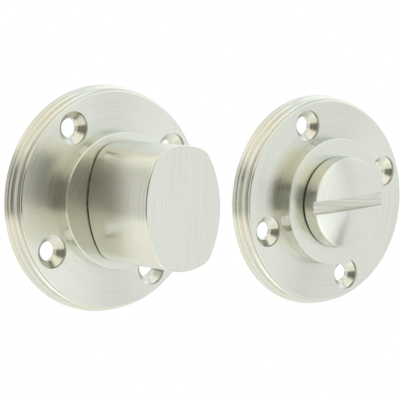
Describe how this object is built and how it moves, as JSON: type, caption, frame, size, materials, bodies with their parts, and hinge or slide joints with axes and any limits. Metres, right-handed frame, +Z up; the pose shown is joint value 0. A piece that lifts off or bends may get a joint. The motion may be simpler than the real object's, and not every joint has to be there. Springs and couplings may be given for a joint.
{
  "type": "bathroom thumb turn lock",
  "caption": "Bathroom privacy lock pair: inside round rose with a barrel-shaped thumb turn and outside round rose with a domed coin release.",
  "frame": {"origin": "mouth of the square spindle socket of the thumb turn, on its turning axis and in the plane of the door face", "axes": "+Z up, +X towards the outside half standing beside it, -Y out of the door face towards the grip"},
  "size_m": [0.1123, 0.0304, 0.05],
  "materials": {
    "satin_nickel": "satin nickel plate, turned brushing",
    "nylon": "natural nylon",
    "spring_steel": "oiled spring steel",
    "zinc_steel": "zinc plated steel"
  },
  "bodies": {
    "roses": {"turn_rose": "satin_nickel", "turn_bush": "nylon", "turn_wave_washer": "spring_steel", "release_rose": "satin_nickel", "release_bush": "nylon", "release_wave_washer": "spring_steel"},
    "turn": {"turn_knob": "satin_nickel", "turn_washer": "zinc_steel", "turn_circlip": "spring_steel"},
    "release": {"release_disc": "satin_nickel", "release_washer": "zinc_steel", "release_circlip": "spring_steel"}
  },
  "joints": [
    {"name": "thumb_turn", "type": "hinge", "parent": "roses", "child": "turn", "pos_m": [0, 0, 0], "axis": [0, -1, 0], "continuous": true},
    {"name": "coin_release", "type": "hinge", "parent": "roses", "child": "release", "pos_m": [0.0623, 0, 0], "axis": [0, -1, 0], "continuous": true}
  ]
}
